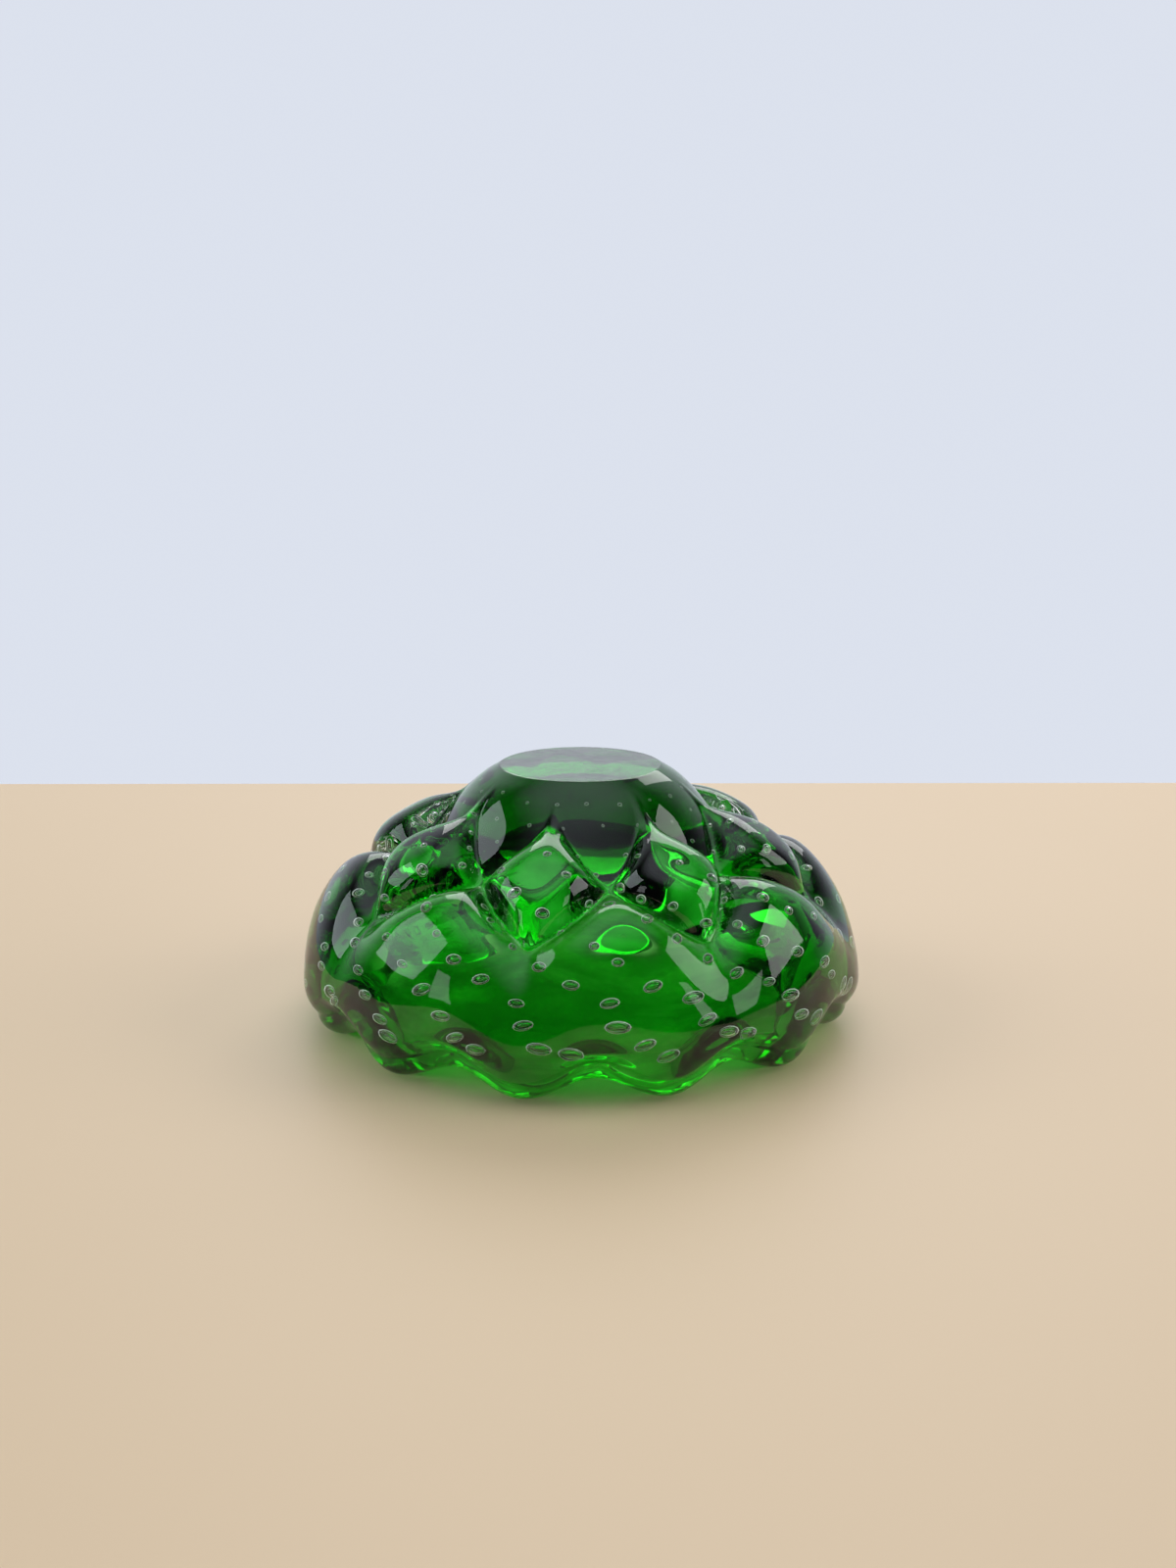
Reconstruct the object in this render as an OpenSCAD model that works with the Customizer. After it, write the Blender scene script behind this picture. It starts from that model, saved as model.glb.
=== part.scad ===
// Heavy cased glass bowl, standing on its scalloped rim with the polished base on top.
// A green core of glass lies inside a clear casing that is drawn out into two rows of pods.
// Millimetres, +Z up, origin on the resting plane under the centre of the bowl.

/* [Bowl] */
// Widest diameter, measured over the belly
bowl_d = 150; // [130:1:170]
// Height from the rim tips to the polished base
bowl_h = 68; // [62:1:76]
// Height of the widest ring above the resting plane
belly_z = 14; // [12:1:18]
// Diameter of the ground and polished base
base_d = 43; // [34:1:52]
// How far the dome's slope lies inside an ellipse, at its deepest
slope_in = 4.5; // [3:0.5:6]

/* [Wall] */
// Glass thickness of casing and core together at the belly
belly_wall = 14; // [13:0.5:16]
// Clear glass over the core at the belly
belly_casing = 5; // [4:0.2:6]
// Clear glass left over the core under the valleys between the pods
valley_casing = 3; // [2:0.1:3.4]
// Clear glass over the core under the polished base
base_casing = 4; // [3:0.5:6]
// Glass thickness between the bowl's floor and the polished base
floor_t = 18; // [16:1:21]

/* [Pods] */
// Pods in each of the two rows
cells = 8; // [6:1:10]
// Depth of the valleys between the pods
valley = 8; // [6:0.5:9]
// Rise of the upper pods over the plain dome
upper_rise = 1.6; // [0:0.1:3]
// Rise of the lower pods, which run down into the belly
lower_rise = 1.4; // [0:0.1:2]
// Extra depth of the pits under the dome, between the upper pods
pit = 0.5; // [0:0.1:2]
// Rounding of the valleys, as a share of the pods' height
valley_round = 0.12; // [0.08:0.02:0.3]
// Share of the pods' shape that the core's surface follows
core_follow = 0.1; // [0.1:0.05:0.3]
// Azimuth of one crossing of the valleys, from the front towards the right
crossing_az = 9; // [-20:1:20]
// Uneven spacing of the hand-drawn pods, in degrees
drift = 2.3; // [0:0.1:3]

/* [Rim] */
// Scallops round the rim
scallops = 12; // [8:1:16]
// Height of the arches between the rim tips
arch_h = 4.8; // [3:0.2:6]
// Outward flare of the rim tips, and inward pull of the arches
flare = 1.3; // [0:0.1:1.8]
// Depth of the rounded lip
lip_drop = 6; // [4:0.2:7]
// Azimuth of one rim tip, from the front towards the right
tip_az = -12; // [-30:1:30]

/* [Hidden] */
// Points across half a pod, and so round the bowl
half_cell = 6;
around = cells * 2 * half_cell;
pitch = 360 / cells;
// Belly radius and the angle at which the dome meets the base
bowl_r = bowl_d / 2;
base_angle = acos(base_d / bowl_d);
// Vertical half-axes of the outside, above and below the belly
dome_up = (bowl_h - belly_z) / sin(base_angle);
rim_angle = 18;
// Puts the deepest part of the slope nearer the base
slope_skew = 2;
skirt_down = (belly_z - lip_drop) / sin(rim_angle);
// The inside
cavity_r = bowl_r - belly_wall;
cavity_up = bowl_h - floor_t - belly_z;
shoulder_casing = valley * (1 - core_follow) + valley_casing;
// Angle up to which the casing thickens, and angles between which it thins under the base
shoulder_angle = 30;
thin_from = 52;
thin_to = 78;
// Last ring of the inside before its apex
cavity_top = 86;
// A quarter of the lip's turn, and the angle of the dome's apex
quarter = 90;
apex = 90;
// Lattice levels: upper pods begin at 0, valleys cross at 1, upper pods end at 2, belly at 3
level_top = -1;
level_end = 2;
level_low = 3;
level_a = 64.5;
level_b = 16.25;
level_c = 1.75;
// Levels between which the valleys deepen under the dome, and run out above the belly
dome_from = -0.4;
dome_to = 1.15;
belly_from = 1.2;
// Narrowest neck of an upper pod, in levels, and the softness of its start
neck = 0.12;
neck_soft = 0.1;
skirt_rows = 6;
lip_rows = 4;
cavity_rows = 14;
// Clear of a grid point that rounding might put on the wrong side
tiny = 0.0001;

function smooth(a, b, x) =
    let (t = min(1, max(0, (x - a) / (b - a))))
    t * t * (3 - 2 * t);

// Elevation angle of a lattice level on the dome
function angle_at(level) = level_a - level_b * level - level_c * level * level;

// Azimuth of a lattice column, spaced a little unevenly
function azimuth(col) = col - drift * sin(2 * col) + crossing_az;

// Zero in a valley, one half a pod away from it
function off_valley(x) =
    (sqrt(pow(sin(180 * x), 2) + valley_round * valley_round) - valley_round)
    / (sqrt(1 + valley_round * valley_round) - valley_round);

// Depth of the outside under the plain dome at a column and level; a rise is negative
function pressed(col, level) =
    let (
        top = smooth(dome_from, dome_to, level),
        low = smooth(level_low, belly_from, level),
        bed = valley * top * low,
        held = min(level_end, (level + neck + norm([level - neck, neck_soft])) / 2),
        turn = (held - 1) / 2,
        p = col / pitch + turn,
        q = col / pitch - turn,
        row = held < level_end ? floor(p + tiny) - floor(q + tiny) : 1,
        g = off_valley(p) * off_valley(q),
        bulge = sqrt(1 - pow(1 - g, 2))
    )
    row == 0 ? bed * (1 - bulge) - upper_rise * top * bulge
    : row == -1 ? bed + pit * top * g
    : bed * (1 - bulge) - lower_rise * low * bulge;

// Depth of the straighter slope under an ellipse
function set_in(angle) =
    let (share = min(1, max(0, angle / base_angle)))
    slope_in * sin(180 * pow(share, slope_skew));

// Radius and height on the plain outside, moved inwards by a depth
function plain(angle, extra) =
    let (
        depth = extra + set_in(angle),
        axis = angle < 0 ? skirt_down : dome_up,
        nr = cos(angle) / bowl_r,
        nz = sin(angle) / axis,
        n = norm([nr, nz])
    )
    [bowl_r * cos(angle) - depth * nr / n, belly_z + axis * sin(angle) - depth * nz / n];

function inside(angle) =
    let (axis = angle < 0 ? skirt_down : cavity_up)
    [cavity_r * cos(angle), belly_z + axis * sin(angle)];

// A point in space: the rim's scallops fade out above the belly
function place(col, angle, rz) =
    let (
        az = azimuth(col),
        wave = cos(scallops * (az - tip_az)),
        near_rim = smooth(rim_angle, -rim_angle, angle),
        r = rz[0] + flare * wave * near_rim,
        z = rz[1] + arch_h * (1 - wave) / 2 * near_rim * near_rim
    )
    [r * sin(az), -r * cos(az), z];

function casing_depth(angle) =
    belly_casing + (shoulder_casing - belly_casing) * smooth(0, shoulder_angle, angle)
    + (base_casing - shoulder_casing) * smooth(thin_from, thin_to, angle);

function seam_depth(col, level, angle) =
    casing_depth(angle) + core_follow * max(0, pressed(col, level));

// Rings of points, each from a height on the glass
function cols() = [for (j = [0 : around - 1]) j * 360 / around];
function outer_ring(level) =
    let (angle = angle_at(level))
    [for (c = cols()) place(c, angle, plain(angle, pressed(c, level)))];
function skirt_ring(angle) = [for (c = cols()) place(c, angle, plain(angle, 0))];
function seam_ring(level) =
    let (angle = angle_at(level))
    [for (c = cols()) place(c, angle, plain(angle, seam_depth(c, level, angle)))];
function skirt_seam_ring(angle) =
    [for (c = cols()) place(c, angle, plain(angle, casing_depth(angle)))];
function inside_ring(angle) = [for (c = cols()) place(c, angle, inside(angle))];

// The lip turns from the outside (0) under the wall (90) to the inside (180)
function lip_ring(turn) =
    let (
        o = plain(-rim_angle, 0),
        i = inside(-rim_angle),
        mid = (o + i) / 2,
        half = (o[0] - i[0]) / 2
    )
    [for (c = cols())
        place(c, -rim_angle, [mid[0] + half * cos(turn), mid[1] - lip_drop * sin(turn)])];

skirt_angles = [for (k = [1 : skirt_rows])
    angle_at(level_low) - k * (angle_at(level_low) + rim_angle) / skirt_rows];
levels = [for (k = [level_top * half_cell : level_low * half_cell]) k / half_cell];
seam_step = 2;
seam_levels = [for (k = [level_top * half_cell : seam_step : level_low * half_cell]) k / half_cell];

outer_rings = concat(
    [for (l = levels) outer_ring(l)],
    [for (a = skirt_angles) skirt_ring(a)]
);
lip_out = [for (k = [1 : lip_rows]) lip_ring(quarter * k / lip_rows)];
lip_in = [for (k = [1 : lip_rows]) lip_ring(quarter + quarter * k / lip_rows)];
seam_rings = concat(
    [for (l = seam_levels) seam_ring(l)],
    [for (k = [0 : skirt_rows - 2]) skirt_seam_ring(skirt_angles[k])]
);
inside_rings = [for (k = [1 : cavity_rows])
    inside_ring(-rim_angle + k * (cavity_top + rim_angle) / cavity_rows)];

outer_apex = [0, 0, plain(apex, 0)[1]];
seam_apex = [0, 0, plain(apex, casing_depth(apex))[1]];
inside_apex = [0, 0, inside(apex)[1]];

function reversed(list) = [for (k = [len(list) - 1 : -1 : 0]) list[k]];
function flat(list) = [for (part = list) each part];

// A closed skin through rings of points, from one apex to the other
module skin(first, rings, last) {
    n = around;
    rows = len(rings);
    end = rows * n + 1;
    lead = -level_top * half_cell + half_cell;
    polyhedron(
        points = concat([first], flat(rings), [last]),
        faces = concat(
            [for (j = [0 : n - 1]) [0, 1 + (j + 1) % n, 1 + j]],
            flat([for (i = [0 : rows - 2])
                flat([for (j = [0 : n - 1])
                    let (
                        a = 1 + i * n + j,
                        b = 1 + i * n + (j + 1) % n,
                        c = b + n,
                        d = a + n,
                        to_left = (j + 1 + i - lead + 4 * n) % (2 * half_cell),
                        to_right = (j - i + lead + 4 * n) % (2 * half_cell),
                        near_left = min(to_left, 2 * half_cell - to_left),
                        near_right = min(to_right, 2 * half_cell - to_right)
                    )
                    near_left < near_right ? [[a, b, d], [b, c, d]] : [[a, b, c], [a, c, d]]
                ])
            ]),
            [for (j = [0 : n - 1]) [1 + (rows - 1) * n + j, 1 + (rows - 1) * n + (j + 1) % n, end]]
        ),
        convexity = 8
    );
}

// The outer gather of clear glass, drawn into pods and ground flat at the base
module clear_casing() {
    color([0.9, 0.95, 0.93, 0.5])
    difference() {
        skin(outer_apex, concat(outer_rings, lip_out, reversed(seam_rings)), seam_apex);
        translate([-base_d, -base_d, bowl_h])
            cube([2 * base_d, 2 * base_d, dome_up]);
    }
}

// The inner gather of green glass, which lines the bowl
module green_core() {
    color([0.02, 0.45, 0.1])
    skin(seam_apex, concat(seam_rings, [lip_out[lip_rows - 1]], lip_in, inside_rings), inside_apex);
}

clear_casing();
green_core();
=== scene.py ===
import math

import bpy
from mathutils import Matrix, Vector


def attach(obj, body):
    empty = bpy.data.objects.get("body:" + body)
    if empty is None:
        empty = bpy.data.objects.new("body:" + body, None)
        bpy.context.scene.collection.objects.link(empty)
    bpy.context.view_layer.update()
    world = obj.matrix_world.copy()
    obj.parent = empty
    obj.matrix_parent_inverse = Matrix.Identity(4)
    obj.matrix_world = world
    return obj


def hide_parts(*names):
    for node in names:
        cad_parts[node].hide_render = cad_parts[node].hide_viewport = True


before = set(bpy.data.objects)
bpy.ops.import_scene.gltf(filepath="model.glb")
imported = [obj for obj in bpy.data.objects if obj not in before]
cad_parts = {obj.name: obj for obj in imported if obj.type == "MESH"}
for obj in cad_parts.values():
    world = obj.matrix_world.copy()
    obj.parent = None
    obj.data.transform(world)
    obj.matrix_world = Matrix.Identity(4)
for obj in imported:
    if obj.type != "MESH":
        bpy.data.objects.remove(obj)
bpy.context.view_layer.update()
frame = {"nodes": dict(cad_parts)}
scene = bpy.context.scene
print("frame loaded:", ", ".join(frame["nodes"]))

# Sizes of the bowl in millimetres and degrees, the same as in the solids.
bowlShape = {
    "Bowl Diameter": 150.0,
    "Bowl Height": 68.0,
    "Belly Height": 14.0,
    "Base Diameter": 43.0,
    "Slope In": 4.5,
    "Belly Wall": 14.0,
    "Belly Casing": 5.0,
    "Valley Casing": 3.0,
    "Base Casing": 4.0,
    "Floor": 18.0,
    "Pods": 8.0,
    "Valley": 8.0,
    "Upper Rise": 1.6,
    "Lower Rise": 1.4,
    "Pit": 0.5,
    "Valley Round": 0.12,
    "Core Follow": 0.1,
    "Crossing": 9.0,
    "Drift": 2.3,
    "Scallops": 12.0,
    "Arch": 4.8,
    "Flare": 1.3,
    "Lip Drop": 6.0,
    "First Tip": -12.0,
}
slopeSkew = 2.0  # puts the deepest part of the slope nearer the base
rimAngle = 18.0  # the wall turns into the lip this far under the belly
seamFoot = 3.0  # the seam leaves the wall this far above the lip
levelRule = (64.5, 16.25, 1.75)  # angle of a lattice level on the dome
levelTop = -2.0  # the dome's apex, at 90 degrees
levelEnd = 2.0  # the upper pods end here
levelBelly = 3.0  # the belly, at 0 degrees
domeFrom, domeTo = -0.4, 1.15  # levels between which the valleys deepen under the dome
bellyFrom = 1.2  # level from which they run out
neck, neckSoft = 0.12, 0.1  # an upper pod's narrowest neck, in levels, and the softness of its start
shoulderAngle = 30.0  # up to here the casing thickens from the belly
underBase = (52.0, 78.0)  # between these it thins again under the base
apex = 90.0
quarter = 90.0  # half of the lip's turn
tiny = 0.0001  # clear of a grid point that rounding might put on the wrong side
degree = math.pi / 180
milli = 0.001


class Num:
    # a number field in a node tree, so that its rule can be written as a sum
    def __init__(self, tree, socket):
        self.tree = tree
        self.socket = socket

    def __add__(self, other):
        return mathNode(self.tree, "ADD", self, other)

    def __radd__(self, other):
        return mathNode(self.tree, "ADD", other, self)

    def __sub__(self, other):
        return mathNode(self.tree, "SUBTRACT", self, other)

    def __rsub__(self, other):
        return mathNode(self.tree, "SUBTRACT", other, self)

    def __mul__(self, other):
        return mathNode(self.tree, "MULTIPLY", self, other)

    def __truediv__(self, other):
        return mathNode(self.tree, "DIVIDE", self, other)


def plug(tree, value, socket):
    if isinstance(value, Num):
        tree.links.new(value.socket, socket)
    else:
        socket.default_value = value


def mathNode(tree, how, *values):
    node = tree.nodes.new("ShaderNodeMath")
    node.operation = how
    for value, socket in zip(values, node.inputs):
        plug(tree, value, socket)
    return Num(tree, node.outputs[0])


def sine(x):
    return mathNode(x.tree, "SINE", x * degree)


def cosine(x):
    return mathNode(x.tree, "COSINE", x * degree)


def root(x):
    return mathNode(x.tree, "SQRT", x)


def lesser(x, y):
    return mathNode(x.tree, "MINIMUM", x, y)


def greater(x, y):
    return mathNode(x.tree, "MAXIMUM", x, y)


def isBelow(x, y):
    return mathNode(x.tree, "LESS_THAN", x, y)


def isNear(x, y):
    return mathNode(x.tree, "COMPARE", x, y, 0.5)  # whole numbers, so half a step apart is enough


def roundDown(x):
    return mathNode(x.tree, "FLOOR", x)


def easeOver(start, end, x):
    node = x.tree.nodes.new("ShaderNodeMapRange")
    node.interpolation_type = "SMOOTHSTEP"
    plug(x.tree, x, node.inputs["Value"])
    plug(x.tree, start, node.inputs["From Min"])
    plug(x.tree, end, node.inputs["From Max"])
    return Num(x.tree, node.outputs["Result"])


def vectorOf(tree, x, y, z):
    node = tree.nodes.new("ShaderNodeCombineXYZ")
    for value, socket in zip((x, y, z), node.inputs):
        plug(tree, value, socket)
    return node.outputs[0]


def newTree(name, sizes):
    tree = bpy.data.node_groups.new(name, "GeometryNodeTree")
    tree.interface.new_socket("Geometry", in_out="OUTPUT", socket_type="NodeSocketGeometry")
    for label in sizes:
        tree.interface.new_socket(label, in_out="INPUT", socket_type="NodeSocketFloat")
    tree.interface.new_socket("Glass", in_out="INPUT", socket_type="NodeSocketMaterial")
    inlet = tree.nodes.new("NodeGroupInput")
    return tree, inlet, {label: Num(tree, inlet.outputs[label]) for label in sizes}


class BowlForm:
    # the rules that the bowl's surfaces follow, as node fields in one tree
    def __init__(self, size):
        self.size = size
        self.bowlR = size["Bowl Diameter"] / 2
        baseShare = size["Base Diameter"] / size["Bowl Diameter"]
        baseRise = root(1 - baseShare * baseShare)
        self.domeUp = (size["Bowl Height"] - size["Belly Height"]) / baseRise
        self.skirtDown = (size["Belly Height"] - size["Lip Drop"]) / math.sin(rimAngle * degree)
        self.cavityR = self.bowlR - size["Belly Wall"]
        self.cavityUp = size["Bowl Height"] - size["Floor"] - size["Belly Height"]
        self.shoulder = size["Valley"] * (1 - size["Core Follow"]) + size["Valley Casing"]
        self.baseAngle = mathNode(baseShare.tree, "ARCCOSINE", baseShare) / degree

    def angleAt(self, level):
        a, b, c = levelRule
        return a - level * b - level * level * c

    def levelAt(self, angle):
        a, b, c = levelRule
        return (root(b * b + (a - angle) * (4 * c)) - b) / (2 * c)

    def azimuth(self, col):
        return col - self.size["Drift"] * sine(col * 2) + self.size["Crossing"]

    def offValley(self, x):
        soft = self.size["Valley Round"]
        wave = sine(x * 180)
        return (root(wave * wave + soft * soft) - soft) / (root(soft * soft + 1) - soft)

    def pressed(self, col, level):
        # depth under the plain dome: pods stand out of valleys, with pits under the dome between them
        size = self.size
        top = easeOver(domeFrom, domeTo, level)
        low = easeOver(levelBelly, bellyFrom, level)
        bed = size["Valley"] * top * low
        away = level - neck
        held = lesser((level + neck + root(away * away + neckSoft * neckSoft)) / 2, levelEnd)
        turn = (held - 1) / 2
        p = col * size["Pods"] / 360 + turn
        q = col * size["Pods"] / 360 - turn
        row = roundDown(p + tiny) - roundDown(q + tiny)
        inLattice = isBelow(held, levelEnd - tiny)
        isUpper = isNear(row, 0.0) * inLattice
        isPit = isNear(row, -1.0) * inLattice
        isLower = 1 - isUpper - isPit
        gap = self.offValley(p) * self.offValley(q)
        bulge = root(1 - (1 - gap) * (1 - gap))
        rise = size["Upper Rise"] * top * isUpper + size["Lower Rise"] * low * isLower
        return bed - (1 - isPit) * bed * bulge - rise * bulge + size["Pit"] * top * gap * isPit

    def casingDepth(self, angle):
        belly = self.size["Belly Casing"]
        base = self.size["Base Casing"]
        up = (self.shoulder - belly) * easeOver(0.0, shoulderAngle, angle)
        return belly + up + (base - self.shoulder) * easeOver(underBase[0], underBase[1], angle)

    def seamDepth(self, col, level):
        dent = greater(self.pressed(col, level), 0.0)
        return self.casingDepth(self.angleAt(level)) + self.size["Core Follow"] * dent

    def setIn(self, angle):
        # the dome's slope is straighter than an ellipse, and lies this far under one
        share = lesser(greater(angle / self.baseAngle, 0.0), 1.0)
        return self.size["Slope In"] * sine(mathNode(share.tree, "POWER", share, slopeSkew) * 180)

    def plain(self, angle, depth):
        depth = depth + self.setIn(angle)
        axis = self.domeUp + (self.skirtDown - self.domeUp) * isBelow(angle, 0.0)
        normalR = cosine(angle) / self.bowlR
        normalZ = sine(angle) / axis
        length = root(normalR * normalR + normalZ * normalZ)
        r = self.bowlR * cosine(angle) - depth * normalR / length
        z = self.size["Belly Height"] + axis * sine(angle) - depth * normalZ / length
        return r, z

    def inside(self, angle):
        axis = self.cavityUp + (self.skirtDown - self.cavityUp) * isBelow(angle, 0.0)
        return self.cavityR * cosine(angle), self.size["Belly Height"] + axis * sine(angle)

    def place(self, col, angle, r, z):
        size = self.size
        az = self.azimuth(col)
        wave = cosine(size["Scallops"] * (az - size["First Tip"]))
        nearRim = easeOver(rimAngle, -rimAngle, angle)
        r = r + size["Flare"] * wave * nearRim
        z = z + size["Arch"] * (1 - wave) / 2 * nearRim * nearRim
        return vectorOf(col.tree, r * sine(az) * milli, r * cosine(az) * -milli, z * milli)

    def disc(self, col, v):
        angle = v * 0 + apex
        return self.place(col, angle, self.size["Base Diameter"] / 2 * v, self.size["Bowl Height"] + v * 0)

    def outside(self, col, v):
        top = self.levelAt(self.baseAngle)
        end = self.levelAt(v * 0 - rimAngle)
        level = top + (end - top) * v
        angle = self.angleAt(level)
        return self.place(col, angle, *self.plain(angle, self.pressed(col, level)))

    def seam(self, col, v, inset=0.0):
        end = self.levelAt(v * 0 - rimAngle + seamFoot)
        level = levelTop + (end - levelTop) * v
        angle = self.angleAt(level)
        return self.place(col, angle, *self.plain(angle, self.seamDepth(col, level) + inset))

    def seamEnd(self, col, v, inset=0.0):
        angle = v * 0 - rimAngle + seamFoot
        r, z = self.plain(angle, self.casingDepth(angle) + inset)
        lipR, lipZ = self.lipPoint(v * 0 + quarter)
        low = v * 0 - rimAngle
        return self.place(col, angle + (low - angle) * v, r + (lipR - r) * v, z + (lipZ - z) * v)

    def lipPoint(self, turn):
        low = turn * 0 - rimAngle
        outR, outZ = self.plain(low, turn * 0)
        inR, inZ = self.inside(low)
        r = (outR + inR) / 2 + (outR - inR) / 2 * cosine(turn)
        z = (outZ + inZ) / 2 - self.size["Lip Drop"] * sine(turn)
        return r, z

    def lip(self, col, turn):
        return self.place(col, turn * 0 - rimAngle, *self.lipPoint(turn))

    def outerLip(self, col, v):
        return self.lip(col, v * quarter)

    def innerLip(self, col, v):
        return self.lip(col, v * quarter + quarter)

    def cavity(self, col, v):
        angle = v * (apex + rimAngle) - rimAngle
        return self.place(col, angle, *self.inside(angle))


def faceMark(tree, part, name, value):
    mark = tree.nodes.new("GeometryNodeStoreNamedAttribute")
    mark.data_type = "FLOAT"
    mark.domain = "FACE"
    mark.inputs["Name"].default_value = name
    mark.inputs["Value"].default_value = value
    tree.links.new(part, mark.inputs["Geometry"])
    return mark.outputs[0]


# Grid of each surface: columns round the bowl, rows down it.
gridRows = {"columns": 384, "disc": 2, "outside": 120, "lip": 10, "seam": 36, "seamEnd": 2, "cavity": 64}
weldReach = 0.000002  # metres


def patch(tree, part, rule, mark="seam", value=0.0, flat=False):
    # a grid wrapped round the bowl: across it the column, down it the rule's own parameter
    grid = tree.nodes.new("GeometryNodeMeshGrid")
    grid.inputs["Size X"].default_value = 1
    grid.inputs["Size Y"].default_value = 1
    grid.inputs["Vertices X"].default_value = gridRows["columns"] + 1
    grid.inputs["Vertices Y"].default_value = gridRows[part] + 1
    here = tree.nodes.new("GeometryNodeInputPosition")
    split = tree.nodes.new("ShaderNodeSeparateXYZ")
    tree.links.new(here.outputs[0], split.inputs[0])
    col = (Num(tree, split.outputs[0]) + 0.5) * 360
    v = Num(tree, split.outputs[1]) + 0.5
    move = tree.nodes.new("GeometryNodeSetPosition")
    tree.links.new(grid.outputs["Mesh"], move.inputs["Geometry"])
    tree.links.new(rule(col, v), move.inputs["Position"])
    shade = tree.nodes.new("GeometryNodeSetShadeSmooth")
    shade.inputs["Shade Smooth"].default_value = not flat
    tree.links.new(move.outputs[0], shade.inputs[0])
    return faceMark(tree, shade.outputs[0], mark, value)


def joined(tree, *parts):
    join = tree.nodes.new("GeometryNodeJoinGeometry")
    for part in parts:
        tree.links.new(part, join.inputs[0])
    return join.outputs[0]


def flipped(tree, part):
    flip = tree.nodes.new("GeometryNodeFlipFaces")
    tree.links.new(part, flip.inputs[0])
    return flip.outputs[0]


def welded(tree, part):
    weld = tree.nodes.new("GeometryNodeMergeByDistance")
    weld.inputs["Distance"].default_value = weldReach
    tree.links.new(part, weld.inputs["Geometry"])
    return weld.outputs[0]


def finishTree(tree, inlet, part):
    real = tree.nodes.new("GeometryNodeRealizeInstances")
    tree.links.new(part, real.inputs[0])
    paint = tree.nodes.new("GeometryNodeSetMaterial")
    tree.links.new(real.outputs[0], paint.inputs["Geometry"])
    tree.links.new(inlet.outputs["Glass"], paint.inputs["Material"])
    outlet = tree.nodes.new("NodeGroupOutput")
    tree.links.new(paint.outputs[0], outlet.inputs[0])


def makePiece(name, tree, sizes, glass):
    maker = bpy.data.objects.new(name + "Maker", bpy.data.meshes.new(name + "Maker"))
    scene.collection.objects.link(maker)
    modifier = maker.modifiers.new("form", "NODES")
    modifier.node_group = tree
    values = dict(sizes, Glass=glass)
    for item in tree.interface.items_tree:
        if item.item_type == "SOCKET" and item.in_out == "INPUT":
            modifier[item.identifier] = values[item.name]
    depsgraph = bpy.context.evaluated_depsgraph_get()
    mesh = bpy.data.meshes.new_from_object(
        maker.evaluated_get(depsgraph), preserve_all_data_layers=True, depsgraph=depsgraph
    )
    mesh.name = name
    bpy.data.objects.remove(maker)
    piece = bpy.data.objects.new(name, mesh)
    scene.collection.objects.link(piece)
    return piece


# Trapped bubbles: slanting rows of voids in the clear casing, long near the rim and small near the base.
bubbleRows = {
    "Bubbles Round": 20.0,
    "Bubble Rows": 15.0,
    "Lowest Row": -3.5,
    "Row Step": 5.15,
    "Row Slant": 6.5,
    "First Bubble": -9.0,
}
# Half-sizes in millimetres: least, more below the dome, more near the rim, most as a share of the casing.
bubbleSizes = {
    "long": (0.45, 0.85, 1.45, 0.65),
    "tall": (0.45, 0.65, 0.2, 0.4),
    "deep": (0.45, 0.55, 0.15, 0.3),
}
bubbleSpans = {"rim": (30.0, 6.0), "dome": (66.0, 40.0)}  # angles over which they grow
bubbleScatter = {
    "round": (-1.6, 1.6),
    "up": (-0.9, 0.9),
    "depth": (0.42, 0.56),
    "size": (0.8, 1.2),
    "tilt": (-0.12, 0.42),
}
lowRowCount, lowSlant = 3, 3.7  # the rows nearest the rim slant less
frontRow = 5  # the row that keeps the first bubble's place
ballSteps = (12, 6)


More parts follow.
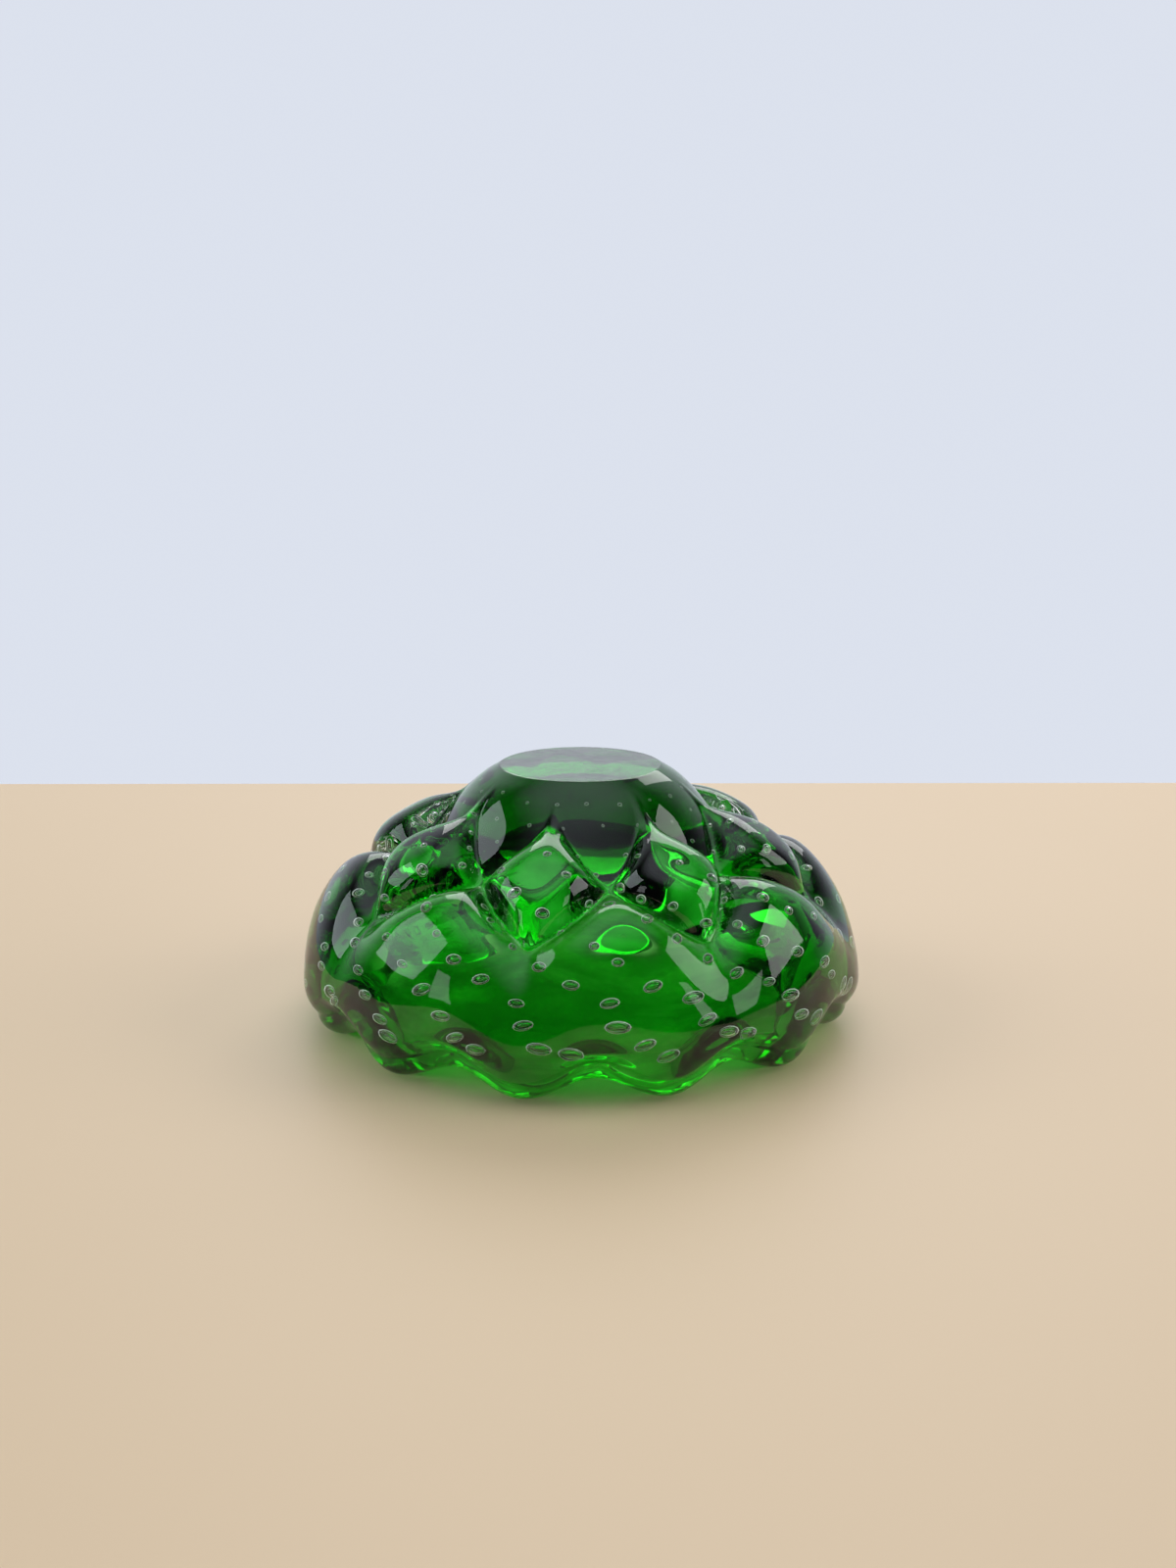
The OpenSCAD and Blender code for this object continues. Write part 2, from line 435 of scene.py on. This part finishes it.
def bubbleField(tree, form, rule):
    count = bubbleRows["Bubbles Round"] * bubbleRows["Bubble Rows"]
    dots = tree.nodes.new("GeometryNodePoints")
    dots.inputs["Count"].default_value = int(count)
    index = tree.nodes.new("GeometryNodeInputIndex")

    def chance(label, seed):
        node = tree.nodes.new("FunctionNodeRandomValue")
        node.data_type = "FLOAT"
        floats = [s for s in node.inputs if s.type == "VALUE"]
        floats[0].default_value, floats[1].default_value = bubbleScatter[label]
        node.inputs["Seed"].default_value = seed
        return Num(tree, [s for s in node.outputs if s.type == "VALUE"][0])

    number = Num(tree, index.outputs[0])
    row = roundDown((number + 0.5) / rule["Bubbles Round"])
    spot = number - row * rule["Bubbles Round"]
    lowRows = greater(lowRowCount - row, 0.0)
    slant = (frontRow - row - lowRows) * rule["Row Slant"] + lowRows * lowSlant
    az = spot * 360 / rule["Bubbles Round"] + rule["First Bubble"] + slant + chance("round", seed=3)
    angle = rule["Lowest Row"] + row * rule["Row Step"] + chance("up", seed=5)
    col = az - form.size["Crossing"]
    col = col + form.size["Drift"] * sine(col * 2)
    level = form.levelAt(angle)
    outer = form.pressed(col, level)
    clear = form.seamDepth(col, level) - outer
    depth = outer + clear * chance("depth", seed=7)
    spread = chance("size", seed=11) * milli
    nearRim = easeOver(*bubbleSpans["rim"], angle)
    belowDome = easeOver(*bubbleSpans["dome"], angle)

    def halfSize(label):
        least, below, low, most = bubbleSizes[label]
        return lesser((least + belowDome * below + nearRim * low) * spread, clear * (most * milli))

    put = tree.nodes.new("GeometryNodeSetPosition")
    tree.links.new(dots.outputs[0], put.inputs["Geometry"])
    tree.links.new(form.place(col, angle, *form.plain(angle, depth)), put.inputs["Position"])
    turned = form.azimuth(col)
    axes = tree.nodes.new("FunctionNodeAxesToRotation")
    axes.primary_axis = "Z"
    axes.secondary_axis = "X"
    flatR = cosine(angle) / form.bowlR
    flatZ = sine(angle) / form.domeUp
    tree.links.new(vectorOf(tree, flatR * sine(turned), flatR * cosine(turned) * -1, flatZ), axes.inputs[0])
    tree.links.new(vectorOf(tree, cosine(turned), sine(turned), chance("tilt", seed=13)), axes.inputs[1])
    ball = tree.nodes.new("GeometryNodeMeshUVSphere")
    ball.inputs["Segments"].default_value, ball.inputs["Rings"].default_value = ballSteps
    ball.inputs["Radius"].default_value = 1
    shade = tree.nodes.new("GeometryNodeSetShadeSmooth")
    tree.links.new(ball.outputs["Mesh"], shade.inputs[0])
    stamp = tree.nodes.new("GeometryNodeInstanceOnPoints")
    tree.links.new(put.outputs[0], stamp.inputs["Points"])
    tree.links.new(shade.outputs[0], stamp.inputs["Instance"])
    tree.links.new(axes.outputs[0], stamp.inputs["Rotation"])
    halves = vectorOf(tree, halfSize("long"), halfSize("tall"), halfSize("deep"))
    tree.links.new(halves, stamp.inputs["Scale"])
    real = tree.nodes.new("GeometryNodeRealizeInstances")
    tree.links.new(stamp.outputs[0], real.inputs[0])
    marked = faceMark(tree, real.outputs[0], "bubble", 1.0)
    return flipped(tree, marked)  # a void: its faces look into the air


# Glass: constants sit on the shader's own sockets; the seam between the two gathers doesn't bend light.
clearLooks = {
    "ior": 1.5,
    "tint": (1.0, 1.0, 1.0, 1),
    "cords": (0.94, 0.98, 0.95, 1),
    "cordStretch": (22.0, 22.0, 60.0),
    "ripple": 0.02,
    "rippleScale": 55.0,
    "letsThrough": 0.6,
    # painted reflection: white ring on the bubble edges (facing span, share); the same white also gives the
    # ground base its haze
    "paintedRimAndHazeColor": (0.98, 1.0, 0.98, 1),
    "paintedRimFacing": (0.42, 0.72),
    "paintedRimShare": 0.95,
    "groundRough": 0.08,
    "groundHaze": 0.32,
    "groundScale": 420.0,
    "lipTint": (0.4, 0.88, 0.42, 1),
    "lipFrom": 0.013,
    "lipTo": 0.004,
}
greenLooks = {
    "ior": 1.5,
    "tint": (1.0, 1.0, 1.0, 1),
    "cords": (0.42, 0.64, 0.42, 1),
    "cordStretch": (24.0, 24.0, 110.0),
    "ripple": 0.05,
    "rippleScale": 40.0,
    "letsThrough": 0.6,
    "absorb": (0.0, 0.88, 0.03, 1),
    "density": 420.0,
}
cordSpan = (0.36, 0.6)  # where on the noise the cords end and the plain glass begins
rippleDepth = 0.01


def glassMaterial(name, looks):
    material = bpy.data.materials.new(name)
    material.use_nodes = True
    tree = material.node_tree
    tree.nodes.clear()
    shader = tree.nodes.new("ShaderNodeBsdfPrincipled")
    shader.inputs["Roughness"].default_value = 0.0
    shader.inputs["IOR"].default_value = looks["ior"]
    shader.inputs["Transmission Weight"].default_value = 1.0
    coords = tree.nodes.new("ShaderNodeTexCoord")

    def noiseOf(scale, detail, twist, stretch=None):
        node = tree.nodes.new("ShaderNodeTexNoise")
        node.inputs["Scale"].default_value = scale
        node.inputs["Detail"].default_value = detail
        node.inputs["Distortion"].default_value = twist
        vector = coords.outputs["Object"]
        if stretch:
            pull = tree.nodes.new("ShaderNodeMapping")
            pull.inputs["Scale"].default_value = stretch
            tree.links.new(vector, pull.inputs["Vector"])
            vector = pull.outputs[0]
        tree.links.new(vector, node.inputs["Vector"])
        return node.outputs["Fac"]

    def attributeOf(label):
        node = tree.nodes.new("ShaderNodeAttribute")
        node.attribute_name = label
        return Num(tree, node.outputs["Fac"])

    # cords: streaks of denser glass, drawn out round the bowl
    ramp = tree.nodes.new("ShaderNodeValToRGB")
    ramp.color_ramp.elements[0].position = cordSpan[0]
    ramp.color_ramp.elements[0].color = looks["cords"]
    ramp.color_ramp.elements[1].position = cordSpan[1]
    ramp.color_ramp.elements[1].color = looks["tint"]
    tree.links.new(noiseOf(1.0, detail=3.0, twist=1.2, stretch=looks["cordStretch"]), ramp.inputs[0])
    color = ramp.outputs[0]
    if "lipTint" in looks:  # the green runs out to the edge of the lip
        height = tree.nodes.new("ShaderNodeSeparateXYZ")
        tree.links.new(coords.outputs["Object"], height.inputs[0])
        dip = tree.nodes.new("ShaderNodeMix")
        dip.data_type = "RGBA"
        above, below = [socket for socket in dip.inputs if socket.type == "RGBA"]
        low = easeOver(looks["lipFrom"], looks["lipTo"], Num(tree, height.outputs["Z"]))
        plug(tree, low, dip.inputs[0])
        tree.links.new(color, above)
        below.default_value = looks["lipTint"]
        color = [socket for socket in dip.outputs if socket.type == "RGBA"][0]
    tree.links.new(color, shader.inputs["Base Color"])
    bump = tree.nodes.new("ShaderNodeBump")
    bump.inputs["Strength"].default_value = looks["ripple"]
    bump.inputs["Distance"].default_value = rippleDepth
    tree.links.new(noiseOf(looks["rippleScale"], detail=1.5, twist=0.0), bump.inputs["Height"])
    tree.links.new(bump.outputs[0], shader.inputs["Normal"])
    surface = shader.outputs[0]

    def mixedIn(share, other):
        mix = tree.nodes.new("ShaderNodeMixShader")
        plug(tree, share, mix.inputs[0])
        tree.links.new(surface, mix.inputs[1])
        tree.links.new(other.outputs[0], mix.inputs[2])
        return mix.outputs[0]

    if "paintedRimAndHazeColor" in looks:  # bubble edges get a painted reflection, a white diffuse ring where the view grazes them, and the ground base keeps a faint haze
        facing = tree.nodes.new("ShaderNodeLayerWeight")
        paintedRimFalloff = easeOver(*looks["paintedRimFacing"], Num(tree, facing.outputs["Facing"]))
        paintedRim = paintedRimFalloff * attributeOf("bubble")
        # one white diffuse shader: painted reflection on the bubble edges, real haze on the ground base
        hazeAndPaintedRim = tree.nodes.new("ShaderNodeBsdfDiffuse")
        hazeAndPaintedRim.inputs["Color"].default_value = looks["paintedRimAndHazeColor"]
        ground = attributeOf("ground")
        wear = Num(tree, noiseOf(looks["groundScale"], detail=4.0, twist=0.5))
        plug(tree, ground * wear * looks["groundRough"], shader.inputs["Roughness"])
        share = paintedRim * looks["paintedRimShare"] + ground * wear * looks["groundHaze"]
        surface = mixedIn(share, hazeAndPaintedRim)
    path = tree.nodes.new("ShaderNodeLightPath")
    shadow = Num(tree, path.outputs["Is Shadow Ray"]) * looks["letsThrough"]
    through = tree.nodes.new("ShaderNodeBsdfTransparent")
    if "density" in looks:
        tree.links.new(ramp.outputs[0], through.inputs["Color"])
    surface = mixedIn(greater(attributeOf("seam"), shadow), through)
    out = tree.nodes.new("ShaderNodeOutputMaterial")
    tree.links.new(surface, out.inputs["Surface"])
    if "density" in looks:
        body = tree.nodes.new("ShaderNodeVolumeAbsorption")
        body.inputs["Color"].default_value = looks["absorb"]
        body.inputs["Density"].default_value = looks["density"]
        tree.links.new(body.outputs[0], out.inputs["Volume"])
    return material


clearGlass = glassMaterial("clearGlass", clearLooks)
greenGlass = glassMaterial("greenGlass", greenLooks)
print("glass mixed")

seamInset = 0.03  # the core's side of the seam lies this much deeper, so the two faces never cross

casingTree, casingInlet, casingSize = newTree("clearCasingForm", {**bowlShape, **bubbleRows})
casingForm = BowlForm(casingSize)
casingOuter = [
    patch(casingTree, "disc", casingForm.disc, "ground", 1.0, flat=True),
    patch(casingTree, "outside", casingForm.outside),
    patch(casingTree, "lip", casingForm.outerLip),
]
casingSeam = [
    patch(casingTree, "seam", casingForm.seam, value=1.0),
    patch(casingTree, "seamEnd", casingForm.seamEnd, value=1.0),
]
casingSkin = joined(casingTree, flipped(casingTree, joined(casingTree, *casingOuter)), *casingSeam)
finishTree(
    casingTree,
    casingInlet,
    joined(casingTree, welded(casingTree, casingSkin), bubbleField(casingTree, casingForm, casingSize)),
)
clearCasing = makePiece("clearCasing", casingTree, {**bowlShape, **bubbleRows}, clearGlass)
print("clear casing:", len(clearCasing.data.polygons), "faces")

coreTree, coreInlet, coreSize = newTree("greenCoreForm", bowlShape)
coreForm = BowlForm(coreSize)
coreSkin = [
    patch(coreTree, "seam", lambda col, v: coreForm.seam(col, v, seamInset), value=1.0),
    patch(coreTree, "seamEnd", lambda col, v: coreForm.seamEnd(col, v, seamInset), value=1.0),
    patch(coreTree, "lip", coreForm.innerLip),
    patch(coreTree, "cavity", coreForm.cavity),
]
finishTree(coreTree, coreInlet, welded(coreTree, flipped(coreTree, joined(coreTree, *coreSkin))))
greenCore = makePiece("greenCore", coreTree, bowlShape, greenGlass)
print("green core:", len(greenCore.data.polygons), "faces")

for piece, node, slot in (
    (clearCasing, "clear_casing", "clear_glass"),
    (greenCore, "green_core", "green_glass"),
):
    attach(piece, "root")
    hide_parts(node)

# Floor with a straight back edge, and a pale wall in the world behind it.
floorLooks = {
    "color": (0.92, 0.69, 0.44, 1),
    "rough": 0.5,
    "left": -2.5,
    "right": 2.5,
    "front": -2.5,
    "back": 0.27,
}
floorMesh = bpy.data.meshes.new("floor")
floorMesh.from_pydata(
    [
        (floorLooks["left"], floorLooks["front"], 0),
        (floorLooks["right"], floorLooks["front"], 0),
        (floorLooks["right"], floorLooks["back"], 0),
        (floorLooks["left"], floorLooks["back"], 0),
    ],
    [],
    [(0, 1, 2, 3)],
)
floor = bpy.data.objects.new("floor", floorMesh)
scene.collection.objects.link(floor)
floorMaterial = bpy.data.materials.new("paleFloor")
floorMaterial.use_nodes = True
floorShader = floorMaterial.node_tree.nodes["Principled BSDF"]
floorShader.inputs["Base Color"].default_value = floorLooks["color"]
floorShader.inputs["Roughness"].default_value = floorLooks["rough"]
floorMesh.materials.append(floorMaterial)

# World: a pale wall at the back and a soft glow overhead, dim towards the viewer.
roomLooks = {
    "wall": (0.84, 0.89, 1.0, 1),
    "bright": 0.85,
    "dim": 0.03,
    "wallFrom": 0.3,
    "wallTo": 0.88,
    "glow": 1.0,
    "glowFrom": 0.72,
    "glowTo": 1.0,
}
room = bpy.data.worlds.new("room")
scene.world = room
room.use_nodes = True
roomTree = room.node_tree
roomTree.nodes.clear()
roomCoords = roomTree.nodes.new("ShaderNodeTexCoord")
roomSplit = roomTree.nodes.new("ShaderNodeSeparateXYZ")
roomTree.links.new(roomCoords.outputs["Generated"], roomSplit.inputs[0])
roomBack = easeOver(roomLooks["wallFrom"], roomLooks["wallTo"], Num(roomTree, roomSplit.outputs["Y"]))
roomTop = easeOver(roomLooks["glowFrom"], roomLooks["glowTo"], Num(roomTree, roomSplit.outputs["Z"]))
roomWall = roomBack * (roomLooks["bright"] - roomLooks["dim"]) + roomLooks["dim"]
roomLight = roomTree.nodes.new("ShaderNodeBackground")
roomLight.inputs["Color"].default_value = roomLooks["wall"]
plug(roomTree, greater(roomWall, roomTop * roomLooks["glow"]), roomLight.inputs["Strength"])
roomOut = roomTree.nodes.new("ShaderNodeOutputWorld")
roomTree.links.new(roomLight.outputs[0], roomOut.inputs[0])

# Lamps: large and soft, like windows: place, width, height, power, colour.
lamps = {
    "windowBack": ((0.15, 1.2, 0.95), 1.2, 0.7, 6.5, (1, 1, 1)),
    "windowLeft": ((-1.25, 0.0, 0.75), 1.1, 0.8, 7.0, (0.85, 0.94, 1)),
    "windowRight": ((1.25, 0.0, 0.72), 0.9, 0.8, 6.0, (1, 1, 1)),
    "doorLeft": ((-1.1, -0.8, 0.4), 0.25, 0.5, 0.7, (0.94, 0.97, 1)),
    "doorRight": ((1.1, -0.65, 0.4), 0.2, 0.5, 0.6, (1, 1, 1)),
}
aim = Vector((0, 0, 0.03))
for name, (spot, width, height, power, color) in lamps.items():
    light = bpy.data.lights.new(name, "AREA")
    light.shape = "RECTANGLE"
    light.size = width
    light.size_y = height
    light.energy = power
    light.color = color
    lamp = bpy.data.objects.new(name, light)
    lamp.location = spot
    lamp.rotation_euler = (aim - Vector(spot)).to_track_quat("-Z", "Y").to_euler()
    scene.collection.objects.link(lamp)

# Camera fitted to the photograph: the frame is 1200 by 1600 with a focal length of 1800 of its pixels.
viewFit = {"lens": 40.5, "sensor": 36, "place": (0, -0.4615, 0.1693), "down": 13.05, "turn": -0.256}
camera = bpy.data.objects.new("camera", bpy.data.cameras.new("camera"))
camera.data.sensor_fit = "VERTICAL"
camera.data.sensor_height = viewFit["sensor"]
camera.data.lens = viewFit["lens"]
camera.location = viewFit["place"]
camera.rotation_euler = ((90 - viewFit["down"]) * degree, 0, viewFit["turn"] * degree)
scene.collection.objects.link(camera)
scene.camera = camera
scene.view_settings.view_transform = "Standard"
bounces = {"glass": 24, "seams": 48}  # enough for light that is caught between the glass surfaces
scene.cycles.max_bounces = bounces["glass"]
scene.cycles.transmission_bounces = bounces["glass"]
scene.cycles.transparent_max_bounces = bounces["seams"]
print("stage set")
